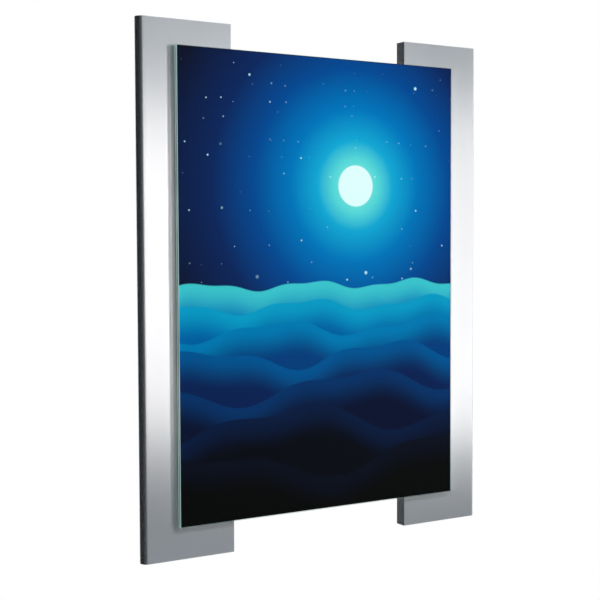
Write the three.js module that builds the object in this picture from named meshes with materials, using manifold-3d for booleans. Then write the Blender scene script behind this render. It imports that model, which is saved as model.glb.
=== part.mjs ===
// A wall poster pocket: two clear sheets hold an A3 print and are carried on two extruded rails.
// Millimetres, +Z up. The wall is the plane y = 0 and the front looks along -Y.
// The origin lies on the wall, midway between the rails and at half their height.
import * as THREE from "three";
import { mergeVertices, toCreasedNormals } from "three/addons/utils/BufferGeometryUtils.js";
import Module from "manifold-3d";

const wasm = await Module();
wasm.setup();

// Print, A3 upright
const PRINT_WIDTH = 297;
const PRINT_HEIGHT = 420;
const PRINT_THICKNESS = 0.4;
const PRINT_SIDE_CLEARANCE = 0.3;
const PRINT_FACE_CLEARANCE = 0.3;

// Clear sheets, and the strips that hold them apart on three sides
const BACK_SHEET_THICKNESS = 2.5;
const FRONT_SHEET_THICKNESS = 2;
const SHEET_ABOVE_PRINT = 0.6;
const SHEET_CORNER_RADIUS = 1;
const SHEET_CHAMFER = 0.2;
const STRIP_WIDTH = 0.6;

// Extruded rails, seen in section: a face, a straight inner side, a bull-nosed outer flank, two rear lips
const RAIL_WIDTH = 85;
const RAIL_DEPTH = 12;
const RAIL_FACE_WALL = 2;
const RAIL_SIDE_WALL = 2;
const RAIL_LIP_WALL = 1.8;
const RAIL_LIP_REACH = 12;
const RAIL_EDGE_ROUND = 0.6;
const RAIL_FLANK_CROWN = 4;
const RAIL_ABOVE_SHEET = 22;
const RAIL_BELOW_SHEET = 28.6;
const SHEET_OVERLAP = 55.4;

// Rib behind the face that the panel screws bite into
const RIB_WIDTH = 12;
const RIB_HEIGHT = 2;
const RIB_FROM_INNER_SIDE = 28;

// Countersunk panel screws with a hexagon socket
const SCREW_DIAMETER = 3;
const SCREW_LENGTH = 6;
const SCREW_HEAD_DIAMETER = 5.6;
const SCREW_HEAD_RIM = 0.3;
const SCREW_HEAD_RECESS = 0.2;
const SCREW_TIP_CHAMFER = 0.4;
const SCREW_SOCKET_ACROSS_FLATS = 2;
const SCREW_SOCKET_DEPTH = 1.1;
const SCREW_FROM_SHEET_END = 40;

// Moulded end caps, pushed into the rail ends
const CAP_CLEARANCE = 0.3;
const CAP_INSET = 0.4;
const CAP_PLATE_THICKNESS = 3;
const CAP_SKIRT_WALL = 1.2;
const CAP_SKIRT_DEPTH = 9;

// Keyhole hangers, held behind the rear lips by two grub screws each
const HANGER_THICKNESS = 2;
const HANGER_HEIGHT = 36;
const HANGER_CORNER_RADIUS = 3;
const HANGER_SIDE_CLEARANCE = 0.4;
const HANGER_FROM_RAIL_END = 62;
const KEYHOLE_ENTRY_DIAMETER = 9.5;
const KEYHOLE_SLOT_WIDTH = 5;
const KEYHOLE_RISE = 9;
const GRUB_DIAMETER = 4;
const GRUB_TIP_CHAMFER = 0.6;
const GRUB_SOCKET_ACROSS_FLATS = 2;
const GRUB_SOCKET_DEPTH = 2;
const GRUB_FROM_LIP = 5;

// Clearances shared by all pieces
const SEAT_GAP = 0.2;
const THREAD_CLEARANCE = 0.3;

// Finish of the curves
const ROUND_SEGMENTS = 20;
const CURVE_SEGMENTS = 8;
const CREASE_ANGLE = THREE.MathUtils.degToRad(30);
const MERGE_DISTANCE = 1e-4;
const CUT_OVERRUN = 1;

// Sizes that follow from the ones above
const SLOT_DEPTH = PRINT_THICKNESS + 2 * PRINT_FACE_CLEARANCE;
const STRIP_THICKNESS = SLOT_DEPTH - 2 * SEAT_GAP;
const SHEET_WIDTH = PRINT_WIDTH + 2 * (PRINT_SIDE_CLEARANCE + STRIP_WIDTH);
const SHEET_HEIGHT = PRINT_HEIGHT + SHEET_ABOVE_PRINT + SEAT_GAP + STRIP_WIDTH;
const RAIL_LENGTH = RAIL_BELOW_SHEET + SHEET_HEIGHT + RAIL_ABOVE_SHEET;
const RAIL_INNER_X = SHEET_WIDTH / 2 - SHEET_OVERLAP;
const RAIL_TOP_Z = RAIL_LENGTH / 2;
const SHEET_TOP_Z = RAIL_TOP_Z - RAIL_ABOVE_SHEET;
const SHEET_BOTTOM_Z = SHEET_TOP_Z - SHEET_HEIGHT;
const SHEET_MIDDLE_Z = (SHEET_TOP_Z + SHEET_BOTTOM_Z) / 2;
const STRIP_TOP_Z = SHEET_BOTTOM_Z + STRIP_WIDTH;

// Depths, from the wall towards the front
const LIP_INNER_Y = -RAIL_LIP_WALL;
const FACE_INNER_Y = -(RAIL_DEPTH - RAIL_FACE_WALL);
const FACE_Y = -RAIL_DEPTH;
const BACK_SHEET_Y = FACE_Y - SEAT_GAP;
const SLOT_REAR_Y = BACK_SHEET_Y - BACK_SHEET_THICKNESS;
const SLOT_FRONT_Y = SLOT_REAR_Y - SLOT_DEPTH;
const FRONT_Y = SLOT_FRONT_Y - FRONT_SHEET_THICKNESS;
const SCREW_HEAD_Y = SLOT_REAR_Y + SCREW_HEAD_RECESS;
const SCREW_TIP_Y = SCREW_HEAD_Y + SCREW_LENGTH;
const HANGER_REAR_Y = LIP_INNER_Y - SEAT_GAP;
const GRUB_TIP_Y = FACE_INNER_Y + SEAT_GAP;

// The bull-nosed flank is an arc from the face's edge to the wall, furthest out at half the depth
const FLANK_CENTRE_Y = -RAIL_DEPTH / 2;
const FLANK_RADIUS = (FLANK_CENTRE_Y ** 2 + RAIL_FLANK_CROWN ** 2) / (2 * RAIL_FLANK_CROWN);
const FLANK_CENTRE_X = RAIL_WIDTH + RAIL_FLANK_CROWN - FLANK_RADIUS;

const anodisedAluminium = new THREE.MeshStandardMaterial({ color: 0xc3c8cd, roughness: 0.34, metalness: 1 });
const blackPlastic = new THREE.MeshStandardMaterial({ color: 0x1b1d1f, roughness: 0.6, metalness: 0 });
const clearAcrylic = new THREE.MeshStandardMaterial({
  color: 0xd9ebe7,
  roughness: 0.06,
  metalness: 0,
  transparent: true,
  opacity: 0.25,
});
const clearTape = new THREE.MeshStandardMaterial({
  color: 0xdde8e6,
  roughness: 0.3,
  metalness: 0,
  transparent: true,
  opacity: 0.5,
});
const printedPaper = new THREE.MeshStandardMaterial({ color: 0x14496f, roughness: 0.45, metalness: 0 });
const stainlessSteel = new THREE.MeshStandardMaterial({ color: 0xb9bcbe, roughness: 0.28, metalness: 1 });
const zincSteel = new THREE.MeshStandardMaterial({ color: 0xaab0b4, roughness: 0.4, metalness: 1 });
const blackOxide = new THREE.MeshStandardMaterial({ color: 0x2a2b2d, roughness: 0.5, metalness: 1 });

// A closed geometry as a solid that can be joined and cut
function solidOf(geometry) {
  const bare = geometry.clone();
  bare.deleteAttribute("normal");
  bare.deleteAttribute("uv");
  const merged = mergeVertices(bare, MERGE_DISTANCE);
  const corners = merged.getIndex().array;
  const triangles = [];
  for (let i = 0; i < corners.length; i += 3) {
    const [a, b, c] = [corners[i], corners[i + 1], corners[i + 2]];
    if (a !== b && b !== c && c !== a) {
      triangles.push(a, b, c);
    }
  }
  const vertProperties = new Float32Array(merged.getAttribute("position").array);
  return new wasm.Manifold(new wasm.Mesh({ numProp: 3, vertProperties, triVerts: new Uint32Array(triangles) }));
}

// A solid as a geometry whose round faces shade smoothly and whose edges stay sharp
function geometryOf(solid) {
  const mesh = solid.getMesh();
  const geometry = new THREE.BufferGeometry();
  geometry.setAttribute("position", new THREE.BufferAttribute(mesh.vertProperties, 3));
  geometry.setIndex(new THREE.BufferAttribute(mesh.triVerts, 1));
  return toCreasedNormals(geometry, CREASE_ANGLE);
}

function cut(base, ...tools) {
  return geometryOf(tools.reduce((rest, tool) => rest.subtract(solidOf(tool)), solidOf(base)));
}

function join(base, ...others) {
  return geometryOf(others.reduce((whole, other) => whole.add(solidOf(other)), solidOf(base)));
}

// An outline in plan (x, y), extruded upwards between two heights
function extrudeUp(outline, bottomZ, topZ) {
  const options = { depth: topZ - bottomZ, bevelEnabled: false, curveSegments: CURVE_SEGMENTS };
  return new THREE.ExtrudeGeometry(outline, options).translate(0, 0, bottomZ);
}

// An outline in front view (x, z), extruded forwards between two depths, with its edges eased
function extrudeForward(outline, rearY, frontY, chamfer) {
  const geometry = new THREE.ExtrudeGeometry(outline, {
    depth: rearY - frontY - 2 * chamfer,
    bevelEnabled: chamfer > 0,
    bevelThickness: chamfer,
    bevelSize: chamfer,
    bevelOffset: -chamfer,
    bevelSegments: 1,
    curveSegments: CURVE_SEGMENTS,
  });
  const standUp = new THREE.Matrix4().set(1, 0, 0, 0, 0, 0, -1, rearY - chamfer, 0, 1, 0, 0, 0, 0, 0, 1);
  return geometry.applyMatrix4(standUp);
}

function roundedRectangle(left, bottom, right, top, radius) {
  const outline = new THREE.Shape();
  outline.absarc(right - radius, top - radius, radius, 0, Math.PI / 2);
  outline.absarc(left + radius, top - radius, radius, Math.PI / 2, Math.PI);
  outline.absarc(left + radius, bottom + radius, radius, Math.PI, 1.5 * Math.PI);
  outline.absarc(right - radius, bottom + radius, radius, 1.5 * Math.PI, 2 * Math.PI);
  return outline;
}

function rectangle(left, bottom, right, top) {
  const outline = new THREE.Shape();
  outline.moveTo(left, bottom);
  outline.lineTo(right, bottom);
  outline.lineTo(right, top);
  outline.lineTo(left, top);
  return outline;
}

function mesh(name, geometry, material) {
  const piece = new THREE.Mesh(geometry, material);
  piece.name = name;
  return piece;
}

// Angle at which an arc about the flank's centre comes to a given depth, or nearest to it
function flankAngle(radius, y) {
  return Math.asin(THREE.MathUtils.clamp((y - FLANK_CENTRE_Y) / radius, -1, 1));
}

function flankX(radius, y) {
  return FLANK_CENTRE_X + radius * Math.cos(flankAngle(radius, y));
}

// Carries an outline on along an arc about the flank's centre, from one depth to another
function followFlank(outline, radius, fromY, toY) {
  outline.lineTo(flankX(radius, fromY), fromY);
  outline.absarc(FLANK_CENTRE_X, FLANK_CENTRE_Y, radius, flankAngle(radius, fromY), flankAngle(radius, toY));
  outline.lineTo(flankX(radius, toY), toY);
}

// Outer section of a rail, from its straight inner side at x = 0 to its bull-nosed flank
function railSection() {
  const roundedY = FACE_Y + RAIL_EDGE_ROUND;
  const outline = new THREE.Shape();
  outline.moveTo(0, 0);
  outline.lineTo(0, roundedY);
  outline.quadraticCurveTo(0, FACE_Y, RAIL_EDGE_ROUND, FACE_Y);
  outline.lineTo(RAIL_WIDTH - RAIL_EDGE_ROUND, FACE_Y);
  outline.quadraticCurveTo(RAIL_WIDTH, FACE_Y, flankX(FLANK_RADIUS, roundedY), roundedY);
  followFlank(outline, FLANK_RADIUS, roundedY, 0);
  return outline;
}

// Hollow of a rail, drawn in by a clearance for what is pushed into it
function hollowSection(clearance) {
  const innerX = RAIL_SIDE_WALL + clearance;
  const rearY = LIP_INNER_Y - clearance;
  const frontY = FACE_INNER_Y + clearance;
  const ribY = frontY + RIB_HEIGHT;
  const ribLeft = RIB_FROM_INNER_SIDE - RIB_WIDTH / 2 - clearance;
  const ribRight = RIB_FROM_INNER_SIDE + RIB_WIDTH / 2 + clearance;
  const outline = new THREE.Shape();
  outline.moveTo(innerX, rearY);
  outline.lineTo(innerX, frontY);
  outline.lineTo(ribLeft, frontY);
  outline.lineTo(ribLeft, ribY);
  outline.lineTo(ribRight, ribY);
  outline.lineTo(ribRight, frontY);
  followFlank(outline, FLANK_RADIUS - RAIL_SIDE_WALL - clearance, frontY, rearY);
  return outline;
}

// Gap between the rear lips, drawn in by a clearance
function mouthSection(clearance, rearY) {
  const left = RAIL_LIP_REACH + clearance;
  const right = RAIL_WIDTH - RAIL_LIP_REACH - clearance;
  return rectangle(left, LIP_INNER_Y - CUT_OVERRUN, right, rearY);
}

// A hexagon socket sunk from one end of a screw, its axis along y
function hexSocket(acrossFlats, fromY, toY) {
  const radius = acrossFlats / Math.sqrt(3);
  const length = Math.abs(toY - fromY);
  return new THREE.CylinderGeometry(radius, radius, length, 6).translate(0, (fromY + toY) / 2, 0);
}

function revolve(profile) {
  const points = profile.map(([radius, y]) => new THREE.Vector2(radius, y));
  return new THREE.LatheGeometry(points, ROUND_SEGMENTS);
}

// Countersunk body from its head at the front to its tip, or the hole that takes it
function countersunkBody(clearance, headY, tipY, tipChamfer) {
  const headRadius = SCREW_HEAD_DIAMETER / 2 + clearance;
  const shankRadius = SCREW_DIAMETER / 2 + clearance;
  const rimY = SCREW_HEAD_Y + SCREW_HEAD_RIM;
  return revolve([
    [0, headY],
    [headRadius, headY],
    [headRadius, rimY],
    [shankRadius, rimY + headRadius - shankRadius],
    [shankRadius, tipY - tipChamfer],
    [shankRadius - tipChamfer, tipY],
    [0, tipY],
  ]);
}

function panelScrew() {
  const body = countersunkBody(0, SCREW_HEAD_Y, SCREW_TIP_Y, SCREW_TIP_CHAMFER);
  const socketEndY = SCREW_HEAD_Y + SCREW_SOCKET_DEPTH;
  return cut(body, hexSocket(SCREW_SOCKET_ACROSS_FLATS, SCREW_HEAD_Y - CUT_OVERRUN, socketEndY));
}

// Hole for a panel screw, through the back sheet, the rail's face and its rib
function panelScrewHole(x, z) {
  const headY = SLOT_REAR_Y - CUT_OVERRUN;
  const tipY = FACE_INNER_Y + RIB_HEIGHT + CUT_OVERRUN;
  return countersunkBody(THREAD_CLEARANCE, headY, tipY, 0).translate(x, 0, z);
}

function panelScrewHeights() {
  return [
    ["top", SHEET_TOP_Z - SCREW_FROM_SHEET_END],
    ["middle", SHEET_MIDDLE_Z],
    ["bottom", SHEET_BOTTOM_Z + SCREW_FROM_SHEET_END],
  ];
}

function rail() {
  const holes = panelScrewHeights().map(([, z]) => panelScrewHole(RIB_FROM_INNER_SIDE, z));
  const beyond = RAIL_TOP_Z + CUT_OVERRUN;
  return cut(
    extrudeUp(railSection(), -RAIL_TOP_Z, RAIL_TOP_Z),
    extrudeUp(hollowSection(0), -beyond, beyond),
    extrudeUp(mouthSection(0, CUT_OVERRUN), -beyond, beyond),
    ...holes,
  );
}

// End cap with its outer face at z = 0: a plate that closes the section, and a thin skirt below it
function endCap() {
  const skirtBottomZ = -(CAP_PLATE_THICKNESS + CAP_SKIRT_DEPTH);
  const skirt = hollowSection(CAP_CLEARANCE);
  skirt.holes.push(hollowSection(CAP_CLEARANCE + CAP_SKIRT_WALL));
  return join(
    extrudeUp(hollowSection(CAP_CLEARANCE), -CAP_PLATE_THICKNESS, 0),
    extrudeUp(mouthSection(CAP_CLEARANCE, -CAP_CLEARANCE), -CAP_PLATE_THICKNESS, 0),
    extrudeUp(skirt, skirtBottomZ, -CAP_PLATE_THICKNESS / 2),
  );
}

// Keyhole in front view: a round entry with a narrower slot rising from it
function keyhole(x) {
  const entryRadius = KEYHOLE_ENTRY_DIAMETER / 2;
  const slotRadius = KEYHOLE_SLOT_WIDTH / 2;
  const entryZ = -KEYHOLE_RISE / 2;
  const slotZ = KEYHOLE_RISE / 2;
  const shoulder = Math.acos(slotRadius / entryRadius);
  const outline = new THREE.Path();
  outline.absarc(x, slotZ, slotRadius, 0, Math.PI);
  outline.absarc(x, entryZ, entryRadius, Math.PI - shoulder, 2 * Math.PI + shoulder);
  return outline;
}

function roundHole(x, radius) {
  return new THREE.Path().absarc(x, 0, radius, 0, 2 * Math.PI);
}

// The two grub screws of a hanger stand just clear of the rear lips
function grubPlaces() {
  const fromSide = RAIL_LIP_REACH + GRUB_FROM_LIP;
  return [
    ["inner", fromSide],
    ["outer", RAIL_WIDTH - fromSide],
  ];
}

// Hanger plate about its own middle height, reaching behind both rear lips
function hanger() {
  const left = RAIL_SIDE_WALL + HANGER_SIDE_CLEARANCE;
  const right = flankX(FLANK_RADIUS - RAIL_SIDE_WALL, HANGER_REAR_Y) - HANGER_SIDE_CLEARANCE;
  const halfHeight = HANGER_HEIGHT / 2;
  const outline = roundedRectangle(left, -halfHeight, right, halfHeight, HANGER_CORNER_RADIUS);
  outline.holes.push(keyhole(RAIL_WIDTH / 2));
  for (const [, x] of grubPlaces()) {
    outline.holes.push(roundHole(x, GRUB_DIAMETER / 2 + THREAD_CLEARANCE));
  }
  return extrudeForward(outline, HANGER_REAR_Y, HANGER_REAR_Y - HANGER_THICKNESS, 0);
}

// Grub screw, driven from behind until its tip bears on the rail's face
function grubScrew() {
  const radius = GRUB_DIAMETER / 2;
  const body = revolve([
    [0, GRUB_TIP_Y],
    [radius - GRUB_TIP_CHAMFER, GRUB_TIP_Y],
    [radius, GRUB_TIP_Y + GRUB_TIP_CHAMFER],
    [radius, HANGER_REAR_Y],
    [0, HANGER_REAR_Y],
  ]);
  const socketEndY = HANGER_REAR_Y - GRUB_SOCKET_DEPTH;
  return cut(body, hexSocket(GRUB_SOCKET_ACROSS_FLATS, HANGER_REAR_Y + CUT_OVERRUN, socketEndY));
}

function hangerSet(name, z) {
  const set = new THREE.Group();
  set.position.z = z;
  set.add(mesh(name, hanger(), zincSteel));
  for (const [place, x] of grubPlaces()) {
    const grub = mesh(`${name}_${place}_grub_screw`, grubScrew(), blackOxide);
    grub.position.x = x;
    set.add(grub);
  }
  return set;
}

// A rail with everything that is fixed to it, its straight inner side at x = 0
function railAssembly(side) {
  const assembly = new THREE.Group();
  assembly.add(mesh(`${side}_rail`, rail(), anodisedAluminium));

  const capZ = RAIL_TOP_Z - CAP_INSET;
  const topCap = mesh(`${side}_top_end_cap`, endCap(), blackPlastic);
  topCap.position.z = capZ;
  const bottomCap = mesh(`${side}_bottom_end_cap`, endCap(), blackPlastic);
  bottomCap.position.z = -capZ;
  bottomCap.scale.z = -1;
  assembly.add(topCap, bottomCap);

  const hangerZ = RAIL_TOP_Z - HANGER_FROM_RAIL_END;
  assembly.add(hangerSet(`${side}_upper_hanger`, hangerZ), hangerSet(`${side}_lower_hanger`, -hangerZ));

  for (const [place, z] of panelScrewHeights()) {
    const screw = mesh(`${side}_${place}_panel_screw`, panelScrew(), stainlessSteel);
    screw.position.set(RIB_FROM_INNER_SIDE, 0, z);
    assembly.add(screw);
  }
  return assembly;
}

function sheetOutline() {
  const halfWidth = SHEET_WIDTH / 2;
  return roundedRectangle(-halfWidth, SHEET_BOTTOM_Z, halfWidth, SHEET_TOP_Z, SHEET_CORNER_RADIUS);
}

function backSheet() {
  const screwX = RAIL_INNER_X + RIB_FROM_INNER_SIDE;
  const holes = panelScrewHeights().flatMap(([, z]) => [panelScrewHole(-screwX, z), panelScrewHole(screwX, z)]);
  return cut(extrudeForward(sheetOutline(), BACK_SHEET_Y, SLOT_REAR_Y, SHEET_CHAMFER), ...holes);
}

function frontSheet() {
  return extrudeForward(sheetOutline(), SLOT_FRONT_Y, FRONT_Y, SHEET_CHAMFER);
}

// A strip of the pocket's edge, between the two sheets
function spacerStrip(left, bottom, right, top) {
  const rearY = SLOT_REAR_Y - SEAT_GAP;
  return extrudeForward(rectangle(left, bottom, right, top), rearY, rearY - STRIP_THICKNESS, 0);
}

function printSheet() {
  const halfWidth = PRINT_WIDTH / 2;
  const bottom = STRIP_TOP_Z + SEAT_GAP;
  const rearY = SLOT_REAR_Y - PRINT_FACE_CLEARANCE;
  const outline = rectangle(-halfWidth, bottom, halfWidth, bottom + PRINT_HEIGHT);
  return extrudeForward(outline, rearY, rearY - PRINT_THICKNESS, 0);
}

function pocket() {
  const group = new THREE.Group();
  const edgeX = SHEET_WIDTH / 2;
  const sideStripX = edgeX - STRIP_WIDTH;
  const sideStripZ = STRIP_TOP_Z + SEAT_GAP;
  group.add(
    mesh("back_sheet", backSheet(), clearAcrylic),
    mesh("front_sheet", frontSheet(), clearAcrylic),
    mesh("left_spacer_strip", spacerStrip(-edgeX, sideStripZ, -sideStripX, SHEET_TOP_Z), clearTape),
    mesh("right_spacer_strip", spacerStrip(sideStripX, sideStripZ, edgeX, SHEET_TOP_Z), clearTape),
    mesh("bottom_spacer_strip", spacerStrip(-edgeX, SHEET_BOTTOM_Z, edgeX, STRIP_TOP_Z), clearTape),
    mesh("poster_print", printSheet(), printedPaper),
  );
  return group;
}

const display = new THREE.Group();
const leftRail = railAssembly("left");
leftRail.position.x = -RAIL_INNER_X;
leftRail.scale.x = -1;
const rightRail = railAssembly("right");
rightRail.position.x = RAIL_INNER_X;
display.add(leftRail, rightRail, pocket());

export default display;
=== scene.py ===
"""Wall poster pocket on two anodised rails, dressed and set in a plain studio.

Sizes are in metres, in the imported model's frame: the wall is y = 0, the front looks along -Y, +Z is up.
"""
import logging
import math
from dataclasses import dataclass
from enum import Enum
from typing import Callable, Optional, Union

import bmesh
import bpy
from mathutils import Matrix, Vector


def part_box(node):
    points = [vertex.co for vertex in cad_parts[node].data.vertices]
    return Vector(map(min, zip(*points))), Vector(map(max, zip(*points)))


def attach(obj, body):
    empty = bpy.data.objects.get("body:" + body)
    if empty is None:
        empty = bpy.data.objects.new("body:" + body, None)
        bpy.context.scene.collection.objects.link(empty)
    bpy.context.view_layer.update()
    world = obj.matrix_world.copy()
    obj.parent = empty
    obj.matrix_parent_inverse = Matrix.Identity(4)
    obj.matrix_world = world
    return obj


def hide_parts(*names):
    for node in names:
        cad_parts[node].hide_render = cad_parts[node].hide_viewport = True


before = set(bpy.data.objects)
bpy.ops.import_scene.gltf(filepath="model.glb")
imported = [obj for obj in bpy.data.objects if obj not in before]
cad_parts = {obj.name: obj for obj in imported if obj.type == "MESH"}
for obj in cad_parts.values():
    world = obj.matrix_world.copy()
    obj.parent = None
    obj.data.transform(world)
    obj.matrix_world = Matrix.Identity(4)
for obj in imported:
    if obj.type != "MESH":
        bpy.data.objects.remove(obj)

LOG = logging.getLogger("poster_pocket")
MM = 0.001
FIXED_BODY = "display"
SLIDING_BODY = "print"
PRINT_NODE = "poster_print"
MERGE_DISTANCE = 1e-6
FLAT_ANGLE = math.radians(0.5)
SMOOTH_ANGLE = math.radians(32.0)
EASED_ANGLE = math.radians(40.0)
EASED_SEGMENTS = 2
FACE_TILT = 0.5
UPRIGHT = (math.radians(90.0), 0.0, 0.0)
DRILL_SIDES = 24
MIX_FIRST_COLOUR, MIX_SECOND_COLOUR, MIXED_COLOUR = 6, 7, 2
FLOOR_HEIGHT = -1.6

Colour = tuple[float, float, float]
WHITE: Colour = (1.0, 1.0, 1.0)
WARM_WHITE: Colour = (1.0, 0.96, 0.92)
AMBER_WHITE: Colour = (1.0, 0.86, 0.80)
COOL_WHITE: Colour = (0.80, 0.93, 1.0)
DARK_CLOTH: Colour = (0.012, 0.015, 0.018)
Socket = bpy.types.NodeSocket
Value = Union[Socket, float, int, bool, tuple, Vector, bpy.types.Object, bpy.types.Material]


class Side(Enum):
    """Which side of the pocket a piece is on, seen from the front."""

    LEFT = "left"
    RIGHT = "right"

    @property
    def sign(self) -> float:
        """Direction of this side along X."""
        return -1.0 if self is Side.LEFT else 1.0


class RailEnd(Enum):
    """Which end of a rail an end cap closes."""

    TOP = "top"
    BOTTOM = "bottom"


class ScrewRow(Enum):
    """Which of a rail's three panel screws."""

    TOP = "top"
    MIDDLE = "middle"
    BOTTOM = "bottom"


class HangerLevel(Enum):
    """Which of a rail's two hangers."""

    UPPER = "upper"
    LOWER = "lower"


class GrubColumn(Enum):
    """Which of a hanger's two grub screws."""

    INNER = "inner"
    OUTER = "outer"


class PocketEdge(Enum):
    """Which edge of the pocket a strip closes."""

    LEFT = "left"
    RIGHT = "right"
    BOTTOM = "bottom"


def linear(part: int) -> float:
    """One part of a colour as seen on a screen, 0 to 255, as a shader takes it."""
    share = part / 255.0
    return share / 12.92 if share <= 0.04045 else ((share + 0.055) / 1.055) ** 2.4


def srgb(red: int, green: int, blue: int) -> Colour:
    """A colour as seen on a screen, as a shader takes it."""
    return linear(red), linear(green), linear(blue)


def darker(colour: Colour, share: float) -> Colour:
    """A colour with each part cut down to a share."""
    return tuple(part * share for part in colour)


class NodeGraph:
    """A node tree under construction, for shaders and for geometry."""

    def __init__(self, tree: bpy.types.NodeTree) -> None:
        """Starts from an empty tree."""
        self.tree = tree
        self.tree.nodes.clear()

    def add(self, kind: str, inputs: Optional[dict] = None, **settings: object) -> bpy.types.Node:
        """Adds a node, sets its properties, and fills or links its inputs. Colours get full alpha.

        Args:
            kind: the node's type name.
            inputs: input name or number, and the value or socket that goes in.
            settings: properties of the node, such as operation.

        Returns:
            The new node.
        """
        node = self.tree.nodes.new(kind)
        for name, value in settings.items():
            setattr(node, name, value)
        for key, value in (inputs or {}).items():
            socket = node.inputs[key]
            if isinstance(value, Socket):
                self.tree.links.new(value, socket)
            else:
                socket.default_value = (*value, 1.0) if socket.type == "RGBA" else value
        return node

    def out(
        self, kind: str, inputs: Optional[dict] = None, output: Union[int, str] = 0, **settings: object
    ) -> Socket:
        """Adds a node and returns one of its outputs, the first where none is named."""
        return self.add(kind, inputs, **settings).outputs[output]

    def math(self, operation: str, first: Value, second: Value = 0.0) -> Socket:
        """One step of arithmetic. Some operations take no second number."""
        return self.out("ShaderNodeMath", {0: first, 1: second}, operation=operation)

    def remap(self, value: Socket, low: float, high: float, start: float = 0.0, end: float = 1.0) -> Socket:
        """Carries the range from low to high onto the one from start to end, smoothly and clamped."""
        inputs = {"Value": value, "From Min": low, "From Max": high, "To Min": start, "To Max": end}
        return self.out("ShaderNodeMapRange", inputs, "Result", interpolation_type="SMOOTHSTEP")

    def mix(self, share: Value, first: Value, second: Value) -> Socket:
        """Mixes two colours by the second one's share."""
        inputs = {0: share, MIX_FIRST_COLOUR: first, MIX_SECOND_COLOUR: second}
        return self.out("ShaderNodeMix", inputs, MIXED_COLOUR, data_type="RGBA")

    def mix_shader(self, share: Value, first: Socket, second: Socket) -> Socket:
        """Mixes two shaders by the second one's share."""
        return self.out("ShaderNodeMixShader", {0: share, 1: first, 2: second})

    def ramp(self, place: Socket, stops: tuple) -> Socket:
        """A colour ramp.

        Args:
            place: where along the ramp.
            stops: places from 0 to 1, in order, each with its colour.

        Returns:
            The colour's socket.
        """
        node = self.add("ShaderNodeValToRGB", {"Fac": place})
        elements = node.color_ramp.elements
        elements[0].position, elements[1].position = stops[0][0], stops[-1][0]
        for position, _ in stops[1:-1]:
            elements.new(position)
        for element, (_, colour) in zip(elements, stops):
            element.color = (*colour, 1.0)
        return node.outputs["Color"]

    def object_coordinates(self, scale: tuple = (1.0, 1.0, 1.0), shift: tuple = (0.0, 0.0, 0.0)) -> Socket:
        """Object coordinates, stretched and then shifted."""
        source = self.out("ShaderNodeTexCoord", output="Object")
        return self.out("ShaderNodeMapping", {"Vector": source, "Scale": scale, "Location": shift})

    def bump(self, height: Socket, strength: float, depth: float) -> Socket:
        """A normal that follows a height from 0 to 1, whose depth is in metres."""
        return self.out("ShaderNodeBump", {"Height": height, "Strength": strength, "Distance": depth})

    def looked_at(self) -> Socket:
        """Is 1 where the camera looks straight at the surface."""
        return self.out("ShaderNodeLightPath", output="Is Camera Ray")

    def background_seen(self) -> Socket:
        """Is 1 where the background shows: to the camera, in gloss and through clear sheets.

        Returns:
            The share's socket.
        """
        rays = self.add("ShaderNodeLightPath").outputs
        mirrored = self.math("MAXIMUM", rays["Is Glossy Ray"], rays["Is Transmission Ray"])
        return self.math("MAXIMUM", rays["Is Camera Ray"], mirrored)


@dataclass(frozen=True)
class Grain:
    """Soft noise in a finish, of which the part between a low and a high value shows."""

    scale: float = 1.0
    detail: float = 2.0
    low: float = 0.3
    high: float = 0.7
    stretch: tuple = (1.0, 1.0, 1.0)

    def noise(self, graph: NodeGraph) -> Socket:
        """The noise itself, around one half."""
        inputs = {"Vector": graph.object_coordinates(self.stretch), "Scale": self.scale}
        return graph.out("ShaderNodeTexNoise", {**inputs, "Detail": self.detail}, "Fac")

    def share(self, graph: NodeGraph, start: float = 0.0, end: float = 1.0) -> Socket:
        """The noise, carried onto a range."""
        return graph.remap(self.noise(graph), self.low, self.high, start, end)

    def around(self, graph: NodeGraph, middle: float, swing: float) -> Socket:
        """The noise, carried onto a range about a middle value."""
        return self.share(graph, middle - swing, middle + swing)


@dataclass(frozen=True)
class Spangle:
    """Crystal cells of a plated surface, each with a shade of its own."""

    scale: float

    def share(self, graph: NodeGraph) -> Socket:
        """Shades the cells.

        Args:
            graph: the material's graph.

        Returns:
            The socket of each cell's shade, from 0 to 1.
        """
        inputs = {"Vector": graph.object_coordinates(), "Scale": self.scale}
        cells = graph.out("ShaderNodeTexVoronoi", inputs, "Color")
        return graph.out("ShaderNodeSeparateColor", {0: cells}, "Red")


@dataclass(frozen=True)
class Finish:
    """A material, whose shader each kind of finish describes."""

    name: str

    def shader(self, graph: NodeGraph) -> Socket:
        """The finish's shader, which each kind makes in the graph."""
        raise NotImplementedError

    def build(self) -> bpy.types.Material:
        """Makes the finish's material.

        Returns:
            The material.
        """
        material = bpy.data.materials.new(self.name)
        material.use_nodes = True
        graph = NodeGraph(material.node_tree)
        graph.add("ShaderNodeOutputMaterial", {"Surface": self.shader(graph)})
        return material


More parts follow.
